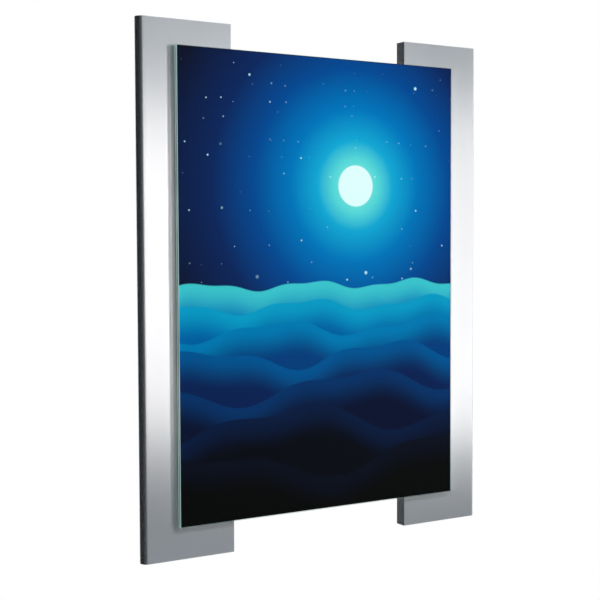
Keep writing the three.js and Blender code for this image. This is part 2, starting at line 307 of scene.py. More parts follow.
@dataclass(frozen=True)
class SatinAnodised(Finish):
    """Anodised aluminium: a satin that spreads gloss across the extrusion, with smoother sides."""

    name: str = "satin_anodised_aluminium"
    tint: Colour = (0.838, 0.864, 0.908)
    shade_share: float = 0.98
    metallic: float = 0.80
    roughness: float = 0.375
    roughness_variation: float = 0.015
    spread_across: float = 0.99
    side_roughness_share: float = 0.65
    side_facing: float = 0.90
    face_facing: float = 0.97
    along: tuple = (0.01, 0.02, 1.0)
    die_lines: Grain = Grain(low=0.25, high=0.75, stretch=(900.0, 900.0, 4.0))
    clouds: Grain = Grain(scale=22.0, detail=4.0)

    def shader(self, graph: NodeGraph) -> Socket:
        """Makes the shader.

        Args:
            graph: the material's graph.

        Returns:
            The shader's socket.
        """
        facing = graph.out("ShaderNodeNewGeometry", output="Normal")
        across = graph.out("ShaderNodeVectorMath", {0: facing, 1: self.along}, operation="CROSS_PRODUCT")
        flat = graph.math("ABSOLUTE", graph.out("ShaderNodeSeparateXYZ", {0: facing}, "Y"))
        share = graph.remap(flat, self.side_facing, self.face_facing, self.side_roughness_share, 1.0)
        roughness = self.die_lines.around(graph, self.roughness, self.roughness_variation)
        shade = darker(self.tint, self.shade_share)
        return graph.out("ShaderNodeBsdfPrincipled", {
            "Base Color": graph.mix(self.clouds.share(graph), shade, self.tint),
            "Metallic": self.metallic,
            "Roughness": graph.math("MULTIPLY", roughness, share),
            "Anisotropic": self.spread_across,
            "Tangent": graph.out("ShaderNodeVectorMath", {0: across}, operation="NORMALIZE"),
        })


@dataclass(frozen=True)
class GrainedFinish(Finish):
    """An opaque surface: two shades in patches, and a texture that varies its gloss and its height."""

    colour: Colour
    shade: Colour
    patches: Union[Grain, Spangle]
    texture: Grain
    texture_strength: float
    texture_depth: float
    roughness: float
    roughness_variation: float = 0.0
    metallic: float = 0.0

    def shader(self, graph: NodeGraph) -> Socket:
        """Makes the shader.

        Args:
            graph: the material's graph.

        Returns:
            The shader's socket.
        """
        roughness = self.roughness
        if self.roughness_variation:
            roughness = self.texture.around(graph, self.roughness, self.roughness_variation)
        return graph.out("ShaderNodeBsdfPrincipled", {
            "Base Color": graph.mix(self.patches.share(graph), self.shade, self.colour),
            "Metallic": self.metallic,
            "Roughness": roughness,
            "Normal": graph.bump(self.texture.noise(graph), self.texture_strength, self.texture_depth),
        })


MOULDED_PLASTIC = GrainedFinish(
    name="moulded_black_plastic",
    colour=srgb(40, 41, 43),
    shade=srgb(28, 29, 31),
    patches=Grain(scale=60.0, detail=4.0, low=0.45, high=0.75),
    texture=Grain(scale=2600.0, detail=3.0),
    texture_strength=0.35,
    texture_depth=0.03 * MM,
    roughness=0.52,
    roughness_variation=0.08,
)
ZINC_TINT: Colour = (0.62, 0.65, 0.68)
ZINC_PLATE = GrainedFinish(
    name="zinc_plated_steel",
    colour=ZINC_TINT,
    shade=darker(ZINC_TINT, share=0.84),
    patches=Spangle(scale=260.0),
    texture=Grain(stretch=(25.0, 900.0, 900.0)),
    texture_strength=0.2,
    texture_depth=0.01 * MM,
    roughness=0.36,
    roughness_variation=0.07,
    metallic=1.0,
)
PAPER_FIBRES = Grain(scale=900.0, detail=5.0, low=0.35, high=0.65)
WHITE_PAPER = GrainedFinish(
    name="white_paper",
    colour=srgb(238, 238, 234),
    shade=srgb(226, 226, 221),
    patches=PAPER_FIBRES,
    texture=PAPER_FIBRES,
    texture_strength=0.3,
    texture_depth=0.03 * MM,
    roughness=0.85,
)


def fastener_steel(name: str, tint: Colour, roughness: float) -> GrainedFinish:
    """Turned steel of a screw, bright or blackened.

    Args:
        name: the finish's name.
        tint: its colour.
        roughness: how matt it is.

    Returns:
        The finish.
    """
    return GrainedFinish(
        name=name,
        colour=tint,
        shade=darker(tint, share=0.8),
        patches=Grain(scale=700.0, detail=3.0, low=0.35, high=0.65),
        texture=Grain(scale=4000.0),
        texture_strength=0.15,
        texture_depth=0.01 * MM,
        roughness=roughness,
        roughness_variation=0.06,
        metallic=1.0,
    )


STAINLESS = fastener_steel("stainless_screw_steel", (0.68, 0.69, 0.70), roughness=0.26)
BLACKENED = fastener_steel("blackened_screw_steel", srgb(58, 58, 60), roughness=0.42)


@dataclass(frozen=True)
class ClearFace(Finish):
    """The coated faces of a clear sheet: light goes straight through, with a faint gloss."""

    name: str = "clear_acrylic_face"
    tint: Colour = (0.975, 0.99, 0.985)
    gloss_roughness: float = 0.05
    gloss_square_on: float = 0.0002
    gloss_at_grazing: float = 0.30
    facing_blend: float = 0.5
    grazing_power: float = 5.0

    def shader(self, graph: NodeGraph) -> Socket:
        """Makes the shader.

        Args:
            graph: the material's graph.

        Returns:
            The shader's socket.
        """
        facing = graph.out("ShaderNodeLayerWeight", {"Blend": self.facing_blend}, "Facing")
        rise = graph.math("POWER", facing, self.grazing_power)
        rise = graph.math("MULTIPLY", rise, self.gloss_at_grazing)
        clear = graph.out("ShaderNodeBsdfTransparent", {"Color": self.tint})
        gloss = graph.out("ShaderNodeBsdfGlossy", {"Roughness": self.gloss_roughness})
        return graph.mix_shader(graph.math("ADD", rise, self.gloss_square_on), clear, gloss)


@dataclass(frozen=True)
class PolishedEdge(Finish):
    """The polished cut edge of a clear sheet: green, with a painted glow that stands in for the light the
    sheet gathers.

    Seen through the sheet it is as clear as the faces, but it bends light away and so casts a shadow.
    """

    colour: Colour
    deep_colour: Colour
    patches: Grain = Grain(scale=14.0, detail=3.0, low=0.35, high=0.65)
    # Strength of the painted glow, which the edge gives off though it is no lamp.
    painted_glow: float = 0.7
    clear_tint: Colour = (0.95, 0.98, 0.97)
    roughness: float = 0.16
    saw_lines: Grain = Grain(scale=900.0)
    saw_line_strength: float = 0.05
    saw_line_depth: float = 0.02 * MM

    def shader(self, graph: NodeGraph) -> Socket:
        """Makes the shader.

        Args:
            graph: the material's graph.

        Returns:
            The shader's socket.
        """
        green = graph.mix(self.patches.share(graph), self.deep_colour, self.colour)
        outside = graph.out("ShaderNodeBsdfPrincipled", {
            "Base Color": green,
            "Roughness": self.roughness,
            "Normal": graph.bump(self.saw_lines.noise(graph), self.saw_line_strength, self.saw_line_depth),
            # Painted glow: the edge emits its own green, standing in for light gathered by the sheet.
            "Emission Color": green,
            "Emission Strength": self.painted_glow,
        })
        inside = graph.out("ShaderNodeBsdfTransparent", {"Color": self.clear_tint})
        from_inside = graph.out("ShaderNodeNewGeometry", output="Backfacing")
        return graph.mix_shader(graph.math("MULTIPLY", from_inside, graph.looked_at()), outside, inside)


# Both sheets are the same acrylic; the back sheet's edge is painted darker than the front's, as painted
# shade on the rear half of the pocket's side.
FRONT_EDGE = PolishedEdge("front_sheet_edge", srgb(176, 204, 199), deep_colour=srgb(156, 184, 180))
BACK_EDGE = PolishedEdge("back_sheet_edge", srgb(152, 174, 170), deep_colour=srgb(134, 156, 153))


@dataclass(frozen=True)
class ClearStrip(Finish):
    """Clear double-sided strip that bonds the sheets. It scatters light and so casts a shadow."""

    name: str = "clear_bonding_strip"
    colour: Colour = srgb(150, 176, 172)
    clearness: float = 0.85
    roughness: float = 0.35
    roughness_variation: float = 0.1
    texture: Grain = Grain(scale=1200.0)

    def shader(self, graph: NodeGraph) -> Socket:
        """Makes the shader.

        Args:
            graph: the material's graph.

        Returns:
            The shader's socket.
        """
        clear = graph.math("MULTIPLY", graph.looked_at(), self.clearness)
        return graph.out("ShaderNodeBsdfPrincipled", {
            "Base Color": self.colour,
            "Roughness": self.texture.around(graph, self.roughness, self.roughness_variation),
            "Alpha": graph.math("SUBTRACT", 1.0, clear),
        })


@dataclass(frozen=True)
class Wave:
    """One layer of the printed sea. Heights are shares of the print's height."""

    height: float
    swing: float
    cycles: float
    phase: float
    crest: Colour
    trough: Colour


@dataclass(frozen=True, kw_only=True)
class SeaPrint(Finish):
    """Printed face of the poster: a moon with its glow and a few stars over layered waves."""

    width: float
    height: float
    bottom: float
    name: str = "night_sea_print"
    moon_place: tuple = (0.62, 0.72)
    moon_radius: float = 0.046
    moon_colour: Colour = srgb(228, 246, 241)
    star_colour: Colour = srgb(186, 226, 232)
    star_scales: tuple = (34.0, 62.0)
    star_scatter: float = 0.6
    star_radius: float = 0.025
    star_radius_range: float = 0.045
    star_softness: float = 0.03
    starless_share: float = 0.66
    edge_softness: float = 0.0016
    crest_depth: float = 0.075
    chop_cycles: float = 2.3
    chop_share: float = 0.4
    roughness: float = 0.5
    specular: float = 0.02
    glow: tuple = (
        (0.00, srgb(132, 226, 214)),
        (0.06, srgb(88, 206, 204)),
        (0.10, srgb(18, 160, 200)),
        (0.17, srgb(0, 112, 176)),
        (0.26, srgb(4, 70, 138)),
        (0.36, srgb(14, 38, 88)),
        (0.50, srgb(16, 20, 38)),
    )
    # Each layer's height, swing, cycles, phase, crest and trough.
    waves: tuple = (
        Wave(0.500, 0.008, 2.6, 0.4, srgb(62, 190, 196), srgb(0, 122, 176)),
        Wave(0.456, 0.012, 2.1, 2.1, srgb(8, 150, 188), srgb(0, 92, 154)),
        Wave(0.404, 0.016, 1.7, 4.3, srgb(0, 118, 170), srgb(6, 60, 118)),
        Wave(0.344, 0.022, 1.5, 0.9, srgb(2, 82, 140), srgb(12, 34, 80)),
        Wave(0.276, 0.026, 1.2, 3.2, srgb(8, 50, 100), srgb(12, 20, 46)),
        Wave(0.200, 0.032, 1.05, 5.4, srgb(12, 28, 60), srgb(10, 12, 20)),
        Wave(0.116, 0.034, 0.9, 1.7, srgb(12, 16, 30), srgb(9, 9, 9)),
    )

    def _sky(self, graph: NodeGraph, across: Socket, up: Socket) -> Socket:
        """Paints the sky, brightest round the moon.

        Args:
            graph: the print's graph.
            across: place across the print, 0 to 1.
            up: place up the print, 0 to 1.

        Returns:
            The colour's socket.
        """
        side = graph.math("SUBTRACT", across, self.moon_place[0])
        side = graph.math("MULTIPLY", side, self.width / self.height)
        rise = graph.math("SUBTRACT", up, self.moon_place[1])
        squares = graph.math("ADD", graph.math("POWER", side, 2.0), graph.math("POWER", rise, 2.0))
        away = graph.math("SQRT", squares)
        inner, outer = self.moon_radius - self.edge_softness, self.moon_radius + self.edge_softness
        return graph.mix(graph.remap(away, outer, inner), graph.ramp(away, self.glow), self.moon_colour)

    def _stars(self, graph: NodeGraph, colour: Socket, scale: float) -> Socket:
        """Scatters small stars over a colour.

        Args:
            graph: the print's graph.
            colour: the colour under the stars.
            scale: places for a star per metre.

        Returns:
            The colour's socket.
        """
        place = graph.add("ShaderNodeSeparateXYZ", {0: graph.object_coordinates()}).outputs
        flat = graph.out("ShaderNodeCombineXYZ", {"X": place["X"], "Y": place["Z"]})
        inputs = {"Vector": flat, "Scale": scale, "Randomness": self.star_scatter}
        cells = graph.add("ShaderNodeTexVoronoi", inputs, voronoi_dimensions="2D").outputs
        draws = graph.add("ShaderNodeSeparateColor", {"Color": cells["Color"]}).outputs
        radius = graph.math("MULTIPLY", draws["Red"], self.star_radius_range)
        radius = graph.math("ADD", radius, self.star_radius)
        disc = graph.remap(graph.math("SUBTRACT", radius, cells["Distance"]), 0.0, self.star_softness)
        kept = graph.math("GREATER_THAN", draws["Green"], self.starless_share)
        strength = graph.math("MULTIPLY", graph.math("MULTIPLY", disc, kept), draws["Blue"])
        return graph.mix(strength, colour, self.star_colour)

    def _wave(self, graph: NodeGraph, colour: Socket, across: Socket, up: Socket, wave: Wave) -> Socket:
        """Lays one wave over what is painted so far.

        Args:
            graph: the print's graph.
            colour: the colour so far.
            across: place across the print, 0 to 1.
            up: place up the print, 0 to 1.
            wave: the layer.

        Returns:
            The colour's socket.
        """
        angle = graph.math("ADD", graph.math("MULTIPLY", across, math.tau * wave.cycles), wave.phase)
        swell = graph.math("MULTIPLY", graph.math("SINE", angle), wave.swing)
        chop = graph.math("SINE", graph.math("MULTIPLY", angle, self.chop_cycles))
        chop = graph.math("MULTIPLY", chop, wave.swing * self.chop_share)
        crest = graph.math("ADD", graph.math("ADD", swell, chop), wave.height)
        depth = graph.math("SUBTRACT", crest, up)
        layer = graph.mix(graph.remap(depth, 0.0, self.crest_depth), wave.crest, wave.trough)
        return graph.mix(graph.remap(depth, -self.edge_softness, self.edge_softness), colour, layer)

    def shader(self, graph: NodeGraph) -> Socket:
        """Makes the shader.

        Args:
            graph: the material's graph.

        Returns:
            The shader's socket.
        """
        scale, shift = (1.0 / self.width, 1.0, 1.0 / self.height), (0.5, 0.0, -self.bottom / self.height)
        place = graph.add("ShaderNodeSeparateXYZ", {0: graph.object_coordinates(scale, shift)}).outputs
        colour = self._sky(graph, place["X"], place["Z"])
        for star_scale in self.star_scales:
            colour = self._stars(graph, colour, star_scale)
        for wave in self.waves:
            colour = self._wave(graph, colour, place["X"], place["Z"], wave)
        return graph.out("ShaderNodeBsdfPrincipled", {
            "Base Color": colour,
            "Roughness": self.roughness,
            "Specular IOR Level": self.specular,
        })


def link_object(name: str, data: bpy.types.ID) -> bpy.types.Object:
    """Puts an object into the scene at the origin.

    Args:
        name: the object's name.
        data: its mesh, curve, lamp or camera.

    Returns:
        The object.
    """
    piece = bpy.data.objects.new(name, data)
    bpy.context.scene.collection.objects.link(piece)
    return piece


def shade_smooth(mesh: bpy.types.Mesh) -> None:
    """Lets a mesh shade smoothly up to its sharp edges."""
    mesh.shade_smooth()
    mesh.set_sharp_from_angle(angle=SMOOTH_ANGLE)


def link_shape(name: str, shape: bmesh.types.BMesh) -> bpy.types.Object:
    """Turns a finished shape into an object.

    Args:
        name: the object's name, and its mesh's.
        shape: the shape, which is used up.

    Returns:
        The object.
    """
    mesh = bpy.data.meshes.new(name)
    shape.to_mesh(mesh)
    shape.free()
    shade_smooth(mesh)
    return link_object(name, mesh)


def ease_edges(piece: bpy.types.Object, width: float) -> None:
    """Rounds a piece's sharp edges a little, so that they catch the light.

    Args:
        piece: the piece.
        width: how far the rounding reaches.
    """
    bevel = piece.modifiers.new("eased edges", "BEVEL")
    bevel.width = width
    bevel.segments = EASED_SEGMENTS
    bevel.limit_method = "ANGLE"
    bevel.angle_limit = EASED_ANGLE
    bevel.use_clamp_overlap = True
    piece.modifiers.new("flat faces stay flat", "WEIGHTED_NORMAL").keep_sharp = True


def put_in_place(piece: bpy.types.Object, body: str, slot: str, *nodes: str) -> bpy.types.Object:
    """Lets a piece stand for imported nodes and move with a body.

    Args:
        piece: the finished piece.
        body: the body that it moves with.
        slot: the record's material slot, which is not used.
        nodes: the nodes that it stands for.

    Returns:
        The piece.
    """
    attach(piece, body)
    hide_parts(*nodes)
    return piece


class GeometryRecipe:
    """A Geometry Nodes tree with named inputs, run once to make a plain mesh."""

    def __init__(self, name: str, inputs: dict[str, str]) -> None:
        """Args:
            name: the tree's name.
            inputs: input names and their socket types.
        """
        self.tree = bpy.data.node_groups.new(name, "GeometryNodeTree")
        self.graph = NodeGraph(self.tree)
        self.sockets = {label: self._socket(label, "INPUT", kind) for label, kind in inputs.items()}
        self._socket("Geometry", "OUTPUT", "Geometry")
        self.given = self.graph.add("NodeGroupInput").outputs

    def _socket(self, label: str, way: str, kind: str) -> bpy.types.NodeTreeInterfaceSocket:
        """Declares an input or an output of the tree."""
        return self.tree.interface.new_socket(name=label, in_out=way, socket_type=f"NodeSocket{kind}")

    def end(self, geometry: Socket) -> None:
        """Ends the tree: instances become real and take the finish.

        Args:
            geometry: what the tree made.
        """
        real = self.graph.out("GeometryNodeRealizeInstances", {"Geometry": geometry})
        inputs = {"Geometry": real, "Material": self.given["Finish"]}
        self.graph.add("NodeGroupOutput", {"Geometry": self.graph.out("GeometryNodeSetMaterial", inputs)})

    def make(self, name: str, values: dict[str, Value]) -> bpy.types.Object:
        """Runs the tree on an empty object and keeps the result as a plain mesh.

        Args:
            name: the new piece's name.
            values: a value for each named input.

        Returns:
            The piece, with no modifier left on it.
        """
        piece = link_object(name, bpy.data.meshes.new(name))
        modifier = piece.modifiers.new(self.tree.name, "NODES")
        modifier.node_group = self.tree
        for label, value in values.items():
            modifier[self.sockets[label].identifier] = value
        depsgraph = bpy.context.evaluated_depsgraph_get()
        mesh = bpy.data.meshes.new_from_object(piece.evaluated_get(depsgraph), depsgraph=depsgraph)
        mesh.name = name
        shade_smooth(mesh)
        piece.modifiers.remove(modifier)
        piece.data = mesh
        return piece


def extrusion_recipe() -> GeometryRecipe:
    """Builds the tree that sweeps a section up a rail and drills its screw holes.

    Returns:
        The recipe.
    """
    recipe = GeometryRecipe("extruded rail", {
        "Section": "Object",
        "Bottom": "Vector",
        "Top": "Vector",
        "Hole Start": "Vector",
        "Hole Step": "Vector",
        "Hole Count": "Int",
        "Hole Radius": "Float",
        "Hole Depth": "Float",
        "Finish": "Material",
    })
    graph, given = recipe.graph, recipe.given
    section = graph.out("GeometryNodeObjectInfo", {"Object": given["Section"]}, "Geometry")
    path = graph.out("GeometryNodeCurvePrimitiveLine", {"Start": given["Bottom"], "End": given["Top"]})
    inputs = {"Curve": path, "Profile Curve": section, "Fill Caps": True}
    swept = graph.out("GeometryNodeCurveToMesh", inputs)
    inputs = {"Vertices": DRILL_SIDES, "Radius": given["Hole Radius"], "Depth": given["Hole Depth"]}
    drill = graph.out("GeometryNodeMeshCylinder", inputs)
    drill = graph.out("GeometryNodeTransform", {"Geometry": drill, "Rotation": UPRIGHT})
    inputs = {
        "Count": given["Hole Count"],
        "Start Location": given["Hole Start"],
        "Offset": given["Hole Step"],
    }
    places = graph.out("GeometryNodeMeshLine", inputs)
    drills = graph.out("GeometryNodeInstanceOnPoints", {"Points": places, "Instance": drill})
    drills = graph.out("GeometryNodeRealizeInstances", {"Geometry": drills})
    inputs = {"Mesh 1": swept, "Mesh 2": drills}
    recipe.end(graph.out("GeometryNodeMeshBoolean", inputs, operation="DIFFERENCE"))
    return recipe


def fastener_grid_recipe() -> GeometryRecipe:
    """Builds the tree that sets one fastener at each point of an upright grid.

    Returns:
        The recipe.
    """
    recipe = GeometryRecipe("fastener grid", {
        "Fastener": "Object",
        "Centre": "Vector",
        "Width": "Float",
        "Height": "Float",
        "Columns": "Int",
        "Rows": "Int",
        "Finish": "Material",
    })
    graph, given = recipe.graph, recipe.given
    grid = graph.out("GeometryNodeMeshGrid", {
        "Size X": given["Width"],
        "Size Y": given["Height"],
        "Vertices X": given["Columns"],
        "Vertices Y": given["Rows"],
    })
    inputs = {"Geometry": grid, "Rotation": UPRIGHT, "Translation": given["Centre"]}
    places = graph.out("GeometryNodeTransform", inputs)
    fastener = graph.out("GeometryNodeObjectInfo", {"Object": given["Fastener"]}, "Geometry")
    recipe.end(graph.out("GeometryNodeInstanceOnPoints", {"Points": places, "Instance": fastener}))
    return recipe


@dataclass
class Rail:
    """An extruded rail: a flat face, a straight inner side, a bull-nosed outer flank and two rear lips."""

    side: Side
    recipe: GeometryRecipe
    finish: bpy.types.Material
    face_wall: float = 2.0 * MM
    side_wall: float = 2.0 * MM
    lip_wall: float = 1.8 * MM
    lip_reach: float = 12.0 * MM
    edge_round: float = 0.6 * MM
    flank_crown: float = 4.0 * MM
    rib_width: float = 12.0 * MM
    rib_height: float = 2.0 * MM
    rib_from_inner_side: float = 28.0 * MM
    hole_radius: float = 1.8 * MM
    cut_edge: float = 0.2 * MM
    arc_steps: int = 16
    round_steps: int = 5

    def __post_init__(self) -> None:
        """Reads the rail's overall size and place from the frame."""
        self.node = f"{self.side.value}_rail"
        low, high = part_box(self.node)
        self.inner_x = min(abs(low.x), abs(high.x))
        self.face_width = high.x - low.x - self.flank_crown
        self.depth = high.y - low.y
        self.bottom, self.top = low.z, high.z

    @property
    def flank_radius(self) -> float:
        """Radius of the bull-nosed flank, which is furthest out at half the rail's depth."""
        return ((self.depth / 2.0) ** 2 + self.flank_crown ** 2) / (2.0 * self.flank_crown)

    def _flank(self, radius: float, start: float, end: float) -> list[tuple[float, float]]:
        """Points of an arc about the flank's centre.

        Args:
            radius: the arc's radius.
            start: depth where it starts.
            end: depth where it ends.

        Returns:
            Points as (distance from the inner side, depth).
        """
        centre, middle = self.face_width + self.flank_crown - self.flank_radius, self.depth / 2.0
        first, last = (math.asin((place - middle) / radius) for place in (start, end))
        angles = [first + (last - first) * step / self.arc_steps for step in range(self.arc_steps + 1)]
        return [(centre + radius * math.cos(angle), middle + radius * math.sin(angle)) for angle in angles]

    def _rounded(self, before: tuple, corner: tuple, after: tuple) -> list[tuple[float, float]]:
        """Points that round a corner off.

        Args:
            before: where the rounding starts.
            corner: the sharp corner.
            after: where it ends.

        Returns:
            Points as (distance from the inner side, depth).
        """
        points = []
        for step in range(self.round_steps + 1):
            share = step / self.round_steps
            weights = ((1.0 - share) ** 2, 2.0 * share * (1.0 - share), share ** 2)
            points.append(tuple(
                sum(weight * point[axis] for weight, point in zip(weights, (before, corner, after)))
                for axis in range(2)
            ))
        return points

    def section(self) -> list[tuple[float, float]]:
        """The rail's outline, as one closed loop.

        Returns:
            Points as (distance from the inner side, depth from the wall).
        """
        width, depth, rounding = self.face_width, self.depth, self.edge_round
        inner_face = depth - self.face_wall
        rib_face = inner_face - self.rib_height
        rib_near = self.rib_from_inner_side - self.rib_width / 2.0
        rib_far = self.rib_from_inner_side + self.rib_width / 2.0
        outer_flank = self._flank(self.flank_radius, depth - rounding, 0.0)
        inner_flank = self._flank(self.flank_radius - self.side_wall, self.lip_wall, inner_face)
        return [
            (0.0, 0.0),
            *self._rounded((0.0, depth - rounding), (0.0, depth), (rounding, depth)),
            *self._rounded((width - rounding, depth), (width, depth), outer_flank[0]),
            *outer_flank[1:],
            (width - self.lip_reach, 0.0),
            (width - self.lip_reach, self.lip_wall),
            *inner_flank,
            (rib_far, inner_face),
            (rib_far, rib_face),
            (rib_near, rib_face),
            (rib_near, inner_face),
            (self.side_wall, inner_face),
            (self.side_wall, self.lip_wall),
            (self.lip_reach, self.lip_wall),
            (self.lip_reach, 0.0),
        ]

    def _section_curve(self) -> bpy.types.Object:
        """Draws the section in plan, as a closed curve on this rail's side.

        Returns:
            The curve.
        """
        points = [(self.side.sign * (self.inner_x + across), -deep) for across, deep in self.section()]
        if self.side is Side.LEFT:
            points.reverse()
        curve = bpy.data.curves.new(f"{self.node}_section", "CURVE")
        curve.dimensions = "2D"
        spline = curve.splines.new("POLY")
        spline.points.add(len(points) - 1)
        for point, (x, y) in zip(spline.points, points):
            point.co = (x, y, 0.0, 1.0)
        spline.use_cyclic_u = True
        return link_object(curve.name, curve)

    def build(self) -> bpy.types.Object:
        """Sweeps the section up the rail and puts the rail in place.

        Returns:
            The rail.
        """
        curve = self._section_curve()
        screws = [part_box(f"{self.side.value}_{row.value}_panel_screw") for row in reversed(ScrewRow)]
        heights = [(low.z + high.z) / 2.0 for low, high in screws]
        hole_x = self.side.sign * (self.inner_x + self.rib_from_inner_side)
        hole_y = -(self.depth - (self.face_wall + self.rib_height) / 2.0)
        rail = self.recipe.make(f"{self.node}_extrusion", {
            "Section": curve,
            "Bottom": (0.0, 0.0, self.bottom),
            "Top": (0.0, 0.0, self.top),
            "Hole Start": (hole_x, hole_y, heights[0]),
            "Hole Step": (0.0, 0.0, heights[1] - heights[0]),
            "Hole Count": len(heights),
            "Hole Radius": self.hole_radius,
            "Hole Depth": 2.0 * (self.face_wall + self.rib_height),
            "Finish": self.finish,
        })
        bpy.data.objects.remove(curve)
        ease_edges(rail, self.cut_edge)
        return put_in_place(rail, FIXED_BODY, "rail_aluminium", self.node)


@dataclass
class DressedSolid:
    """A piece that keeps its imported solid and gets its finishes, a second one on some of its faces."""

    node: str
    finishes: tuple[bpy.types.Material, ...]
    made: str
    slot: str
    body: str = FIXED_BODY
    eased_edge: float = 0.0

    def takes_second(self, normal: Vector) -> bool:
        """Whether a face with this normal takes the second finish."""
        return False

    def build(self) -> bpy.types.Object:
        """Copies the solid, with its loose triangles joined into clean faces, and dresses the copy.

        Returns:
            The piece.
        """
        shape = bmesh.new()
        shape.from_mesh(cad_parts[self.node].data)
        bmesh.ops.remove_doubles(shape, verts=shape.verts, dist=MERGE_DISTANCE)
        bmesh.ops.dissolve_limit(shape, angle_limit=FLAT_ANGLE, verts=shape.verts, edges=shape.edges)
        piece = link_shape(f"{self.node}_{self.made}", shape)
        piece.data.materials.clear()
        for finish in self.finishes:
            piece.data.materials.append(finish)
        for face in piece.data.polygons:
            face.material_index = int(self.takes_second(face.normal))
        if self.eased_edge:
            ease_edges(piece, self.eased_edge)
        return put_in_place(piece, self.body, self.slot, self.node)


@dataclass
class EndCap(DressedSolid):
    """A moulded plug in the end of a rail."""

    made: str = "moulding"
    slot: str = "cap_plastic"
    eased_edge: float = 0.25 * MM


@dataclass
class Hanger(DressedSolid):
    """A stamped keyhole plate, inside the rear lips of a rail."""

    made: str = "plate"
    slot: str = "zinc_hanger"
    eased_edge: float = 0.2 * MM


@dataclass
class SpacerStrip(DressedSolid):
    """A clear strip between the two sheets, along one edge of the pocket."""

    made: str = "clear"
    slot: str = "clear_strip"


@dataclass
class ClearSheet(DressedSolid):
    """One of the two clear sheets of the pocket: clear faces, pale green edges."""

    made: str = "acrylic"
    slot: str = "clear_acrylic"

    def takes_second(self, normal: Vector) -> bool:
        """Whether a face is one of the sheet's edges."""
        return abs(normal.y) <= FACE_TILT


@dataclass
class PosterPrint(DressedSolid):
    """The print that slides in the pocket: white paper, with a picture on its front face alone."""

    made: str = "sheet"
    slot: str = "printed_paper"
    body: str = SLIDING_BODY

    def takes_second(self, normal: Vector) -> bool:
        """Whether a face is the printed one."""
        return normal.y < -FACE_TILT


Ring = tuple[Union[float, Callable[[float], float]], float]


@dataclass
class ScrewSet:
    """Like screws on both rails, turned about axes along Y, with a hexagon socket in the driving end."""

    recipe: GeometryRecipe
    finish: bpy.types.Material
    diameter: float
    socket_depth: float
    thread_pitch: float
    thread_depth: float
    socket_across_flats: float = 2.0 * MM
    thread_crest: float = 0.15
    thread_root: float = 0.65
    sides: int = 36

    def hexagon(self, angle: float) -> float:
        """Distance from the axis to the socket's wall at an angle."""
        sixth = math.tau / 6.0
        return self.socket_across_flats / 2.0 / math.cos(angle % sixth - sixth / 2.0)

    def threads(self, start: float, end: float) -> list[Ring]:
        """Rings of a thread between two places along the axis.

        Args:
            start: where the thread starts.
            end: where it ends.

        Returns:
            Rings as (radius, place).
        """
        radius = self.diameter / 2.0
        turns = max(1, int(abs(end - start) / self.thread_pitch))
        step = (end - start) / turns
        rings: list[Ring] = []
        for turn in range(turns):
            rings.append((radius, start + step * (turn + self.thread_crest)))
            rings.append((radius - self.thread_depth, start + step * (turn + self.thread_root)))
        return rings

    def rings(self, low: Vector, high: Vector) -> list[Ring]:
        """Rings of one screw that fills a box, which each kind of screw gives."""
        raise NotImplementedError

    def turn(self, name: str, rings: list[Ring]) -> bpy.types.Object:
        """Joins rings into a closed body, from the bottom of the socket to the tip.

        Args:
            name: the body's name.
            rings: rings as (radius, place along Y).

        Returns:
            The body about the Y axis, as an object.
        """
        shape = bmesh.new()
        angles = [math.tau * (side + 0.5) / self.sides for side in range(self.sides)]
        loops = []
        for radius, place in rings:
            reach = radius if callable(radius) else lambda _angle, fixed=radius: fixed
            loops.append([
                shape.verts.new((reach(angle) * math.cos(angle), place, reach(angle) * math.sin(angle)))
                for angle in angles
            ])
        for near, far in zip(loops, loops[1:]):
            for side in range(self.sides):
                after = (side + 1) % self.sides
                shape.faces.new((near[side], near[after], far[after], far[side]))
        shape.faces.new(loops[0])
        shape.faces.new(loops[-1])
        bmesh.ops.recalc_face_normals(shape, faces=shape.faces)
        return link_shape(name, shape)

    def set_out(self, name: str, slot: str, nodes: list[str]) -> bpy.types.Object:
        """Sets the screws out over both rails, in one column on each.

        Args:
            name: the piece's name.
            slot: the record's material slot.
            nodes: the nodes that the screws stand for.

        Returns:
            The screws, as one piece.
        """
        boxes = [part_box(node) for node in nodes]
        centres = [(low + high) / 2.0 for low, high in boxes]
        places, heights = [centre.x for centre in centres], [centre.z for centre in centres]
        pattern = self.turn(f"{name}_pattern", self.rings(*boxes[0]))
        screws = self.recipe.make(name, {
            "Fastener": pattern,
            "Centre": (0.0, 0.0, sum(heights) / len(heights)),
            "Width": max(places) - min(places),
            "Height": max(heights) - min(heights),
            "Columns": len(Side),
            "Rows": len(nodes) // len(Side),
            "Finish": self.finish,
        })
        bpy.data.objects.remove(pattern)
        return put_in_place(screws, FIXED_BODY, slot, *nodes)


@dataclass
class PanelScrews(ScrewSet):
    """The countersunk screws that hold the back sheet to the rails, in two columns of three."""

    diameter: float = 3.0 * MM
    socket_depth: float = 1.1 * MM
    thread_pitch: float = 0.5 * MM
    thread_depth: float = 0.25 * MM
    head_rim: float = 0.3 * MM
    head_bevel: float = 0.12 * MM
    tip_chamfer: float = 0.4 * MM

    def rings(self, low: Vector, high: Vector) -> list[Ring]:
        """Rings of one screw, whose head lies in front.

        Args:
            low: lowest corner of the screw's box.
            high: highest corner of it.

        Returns:
            Rings as (radius, place along Y).
        """
        front, tip = low.y, high.y
        head, shank = (high.x - low.x) / 2.0, self.diameter / 2.0
        neck = front + self.head_rim + head - shank
        return [
            (self.hexagon, front + self.socket_depth),
            (self.hexagon, front),
            (head - self.head_bevel, front),
            (head, front + self.head_bevel),
            (head, front + self.head_rim),
            (shank, neck),
            *self.threads(neck, tip - self.tip_chamfer),
            (shank - self.tip_chamfer, tip),
        ]

    def build(self) -> bpy.types.Object:
        """Sets the panel screws out."""
        nodes = [f"{side.value}_{row.value}_panel_screw" for side in Side for row in ScrewRow]
        return self.set_out("panel_screws", "stainless_screw", nodes)


